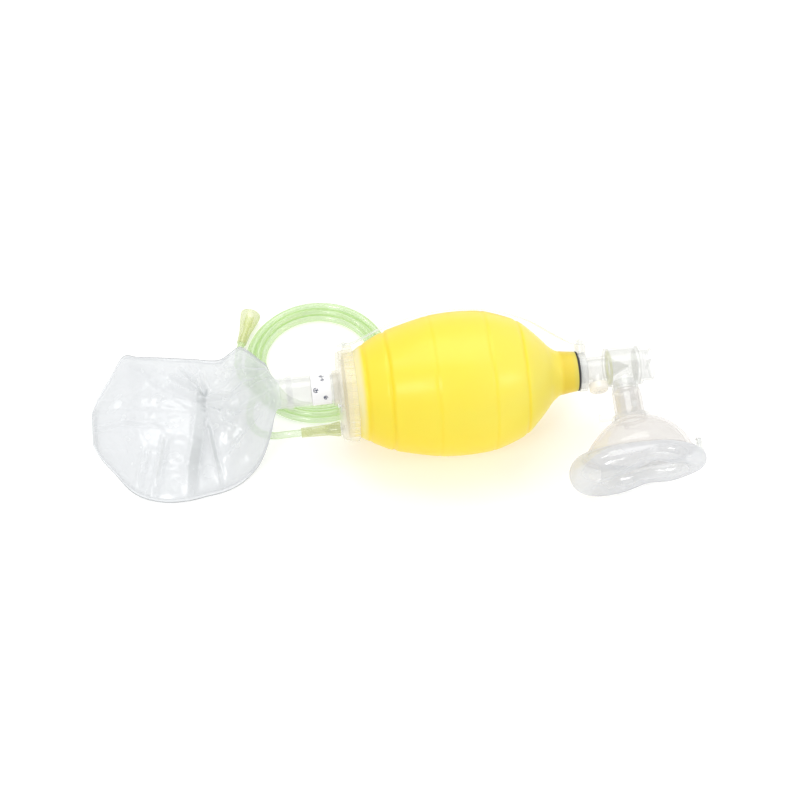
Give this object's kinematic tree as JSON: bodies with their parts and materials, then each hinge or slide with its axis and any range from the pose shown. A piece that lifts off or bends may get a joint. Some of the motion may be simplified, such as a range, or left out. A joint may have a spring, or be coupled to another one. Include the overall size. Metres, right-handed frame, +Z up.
{
  "type": "bag valve mask",
  "caption": "Self-inflating resuscitator bag with patient valve and face mask, film oxygen reservoir, hand strap and a coil of oxygen tubing.",
  "frame": {"origin": "middle of the footprint, on the surface that the object lies on, measured without the oxygen tubing", "axes": "+X along the compression bag towards the mask, +Z up, mask opening towards -Y"},
  "size_m": [0.5585, 0.2731, 0.1321],
  "materials": {
    "yellow_bag": "satin",
    "clear_plastic": "gloss",
    "clear_elastic": "satin",
    "strap_vinyl": "satin",
    "mask_dome": "gloss",
    "cushion_vinyl": "satin",
    "reservoir_film": "gloss",
    "green_tubing": "gloss",
    "green_fitting": "gloss",
    "black_rubber": "satin",
    "valve_silicone": "satin",
    "label_paper": "matte",
    "relief_plastic": "satin",
    "white_plastic": "satin",
    "spring_steel": "satin"
  },
  "bodies": {
    "root": {"compression_bag": "yellow_bag", "rear_retaining_ring": "clear_plastic", "intake_housing": "clear_plastic", "rear_cover": "clear_plastic", "air_inlet_valve_peg": "clear_plastic", "overflow_valve_peg": "clear_plastic", "reservoir_connector": "clear_plastic", "reservoir_label": "label_paper", "reservoir_neck_band": "clear_elastic", "oxygen_nipple": "clear_plastic", "neck_adaptor": "clear_plastic", "neck_o_ring": "black_rubber", "front_collar": "clear_plastic", "hand_strap": "strap_vinyl", "rear_strap_pegs": "clear_plastic", "front_strap_pegs": "clear_plastic", "reservoir_bag": "reservoir_film", "tubing_coil": "green_tubing", "oxygen_tube_lead": "green_tubing", "oxygen_tube_tail": "green_tubing", "tubing_connector_near": "green_fitting", "tubing_connector_far": "green_fitting"},
    "intake_disc": {"intake_valve_disc": "valve_silicone"},
    "air_inlet_disc": {"air_inlet_valve_disc": "valve_silicone"},
    "overflow_disc": {"overflow_valve_disc": "valve_silicone"},
    "valve": {"valve_inlet_housing": "clear_plastic", "relief_valve_spring": "spring_steel", "relief_valve_cap": "relief_plastic", "lip_valve": "valve_silicone", "valve_housing": "clear_plastic", "exhalation_port": "clear_plastic"},
    "relief_disc": {"relief_valve_disc": "white_plastic"},
    "exhalation_disc": {"exhalation_valve_disc": "valve_silicone"},
    "patient_swivel": {"patient_connector": "clear_plastic"},
    "mask": {"mask_shell": "mask_dome", "mask_cushion": "cushion_vinyl", "mask_inflation_tube": "cushion_vinyl"},
    "hook_ring": {"mask_hook_ring": "clear_plastic"},
    "inflation_plug": {"mask_inflation_plug": "white_plastic"}
  },
  "joints": [
    {"name": "intake_disc_lift", "type": "slide", "parent": "root", "child": "intake_disc", "axis": [1, 0, 0], "range_m": [0, 0.0025], "stiffness_N_per_m": 20},
    {"name": "air_inlet_disc_lift", "type": "slide", "parent": "root", "child": "air_inlet_disc", "axis": [1, 0, 0], "range_m": [0, 0.0012], "stiffness_N_per_m": 20},
    {"name": "overflow_disc_lift", "type": "slide", "parent": "root", "child": "overflow_disc", "axis": [-1, 0, 0], "range_m": [0, 0.0012], "stiffness_N_per_m": 20},
    {"name": "valve_swivel", "type": "hinge", "parent": "root", "child": "valve", "pos_m": [0.2155, 0.0014, 0.06607], "axis": [1, 0, 0], "continuous": true},
    {"name": "relief_valve_lift", "type": "slide", "parent": "valve", "child": "relief_disc", "axis": [0, -0.9732, -0.23], "range_m": [0, 0.003], "stiffness_N_per_m": 200, "springref_m": -0.0023, "deforming": ["relief_valve_spring"]},
    {"name": "exhalation_disc_lift", "type": "slide", "parent": "valve", "child": "exhalation_disc", "axis": [1, 0, 0], "range_m": [0, 0.0018], "stiffness_N_per_m": 20},
    {"name": "patient_connector_swivel", "type": "hinge", "parent": "valve", "child": "patient_swivel", "pos_m": [0.2155, -0.01806, 0.06147], "axis": [0, -0.9732, -0.23], "continuous": true},
    {"name": "mask_pull_off", "type": "slide", "parent": "patient_swivel", "child": "mask", "axis": [0, -0.9732, -0.23], "range_m": [0, 0.0195]},
    {"name": "hook_ring_turn", "type": "hinge", "parent": "mask", "child": "hook_ring", "pos_m": [0.2155, -0.04872, 0.05422], "axis": [0, -0.9732, -0.23], "continuous": true},
    {"name": "inflation_plug_pull", "type": "slide", "parent": "mask", "child": "inflation_plug", "axis": [0, 0.9732, 0.23], "range_m": [0, 0.004]}
  ]
}
